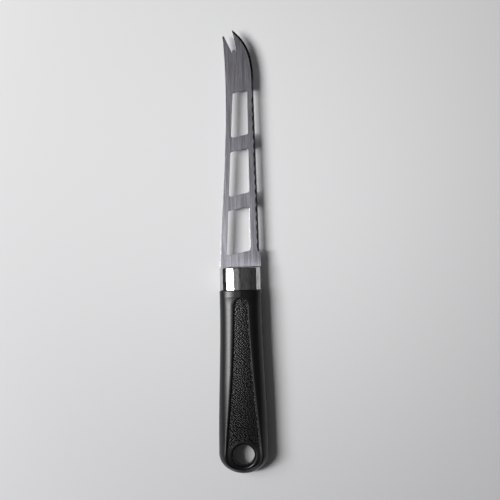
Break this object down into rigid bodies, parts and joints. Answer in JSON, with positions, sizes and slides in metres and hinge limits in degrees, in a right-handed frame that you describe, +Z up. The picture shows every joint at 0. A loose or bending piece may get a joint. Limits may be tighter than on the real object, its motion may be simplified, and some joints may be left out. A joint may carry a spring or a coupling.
{
  "type": "cheese knife",
  "caption": "Cheese knife lying on its side: forked and windowed flat blade with a finely scalloped edge, oval metal ferrule, and moulded handle with sunk grained panels and a hanging hole.",
  "frame": {"origin": "on the surface that the knife lies on, under the middle of its length and width", "axes": "+X towards the cutting edge, +Y towards the forked tip, +Z up through the blade's ground side"},
  "size_m": [0.0268, 0.2399, 0.0138],
  "materials": {
    "blade_steel": "satin, brushed lengthwise",
    "ferrule_steel": "polished",
    "handle_plastic": "semi-gloss shoulders, fine grain in the sunk panels"
  },
  "bodies": {
    "root": {"blade": "blade_steel", "ferrule": "ferrule_steel", "handle": "handle_plastic"}
  },
  "joints": []
}
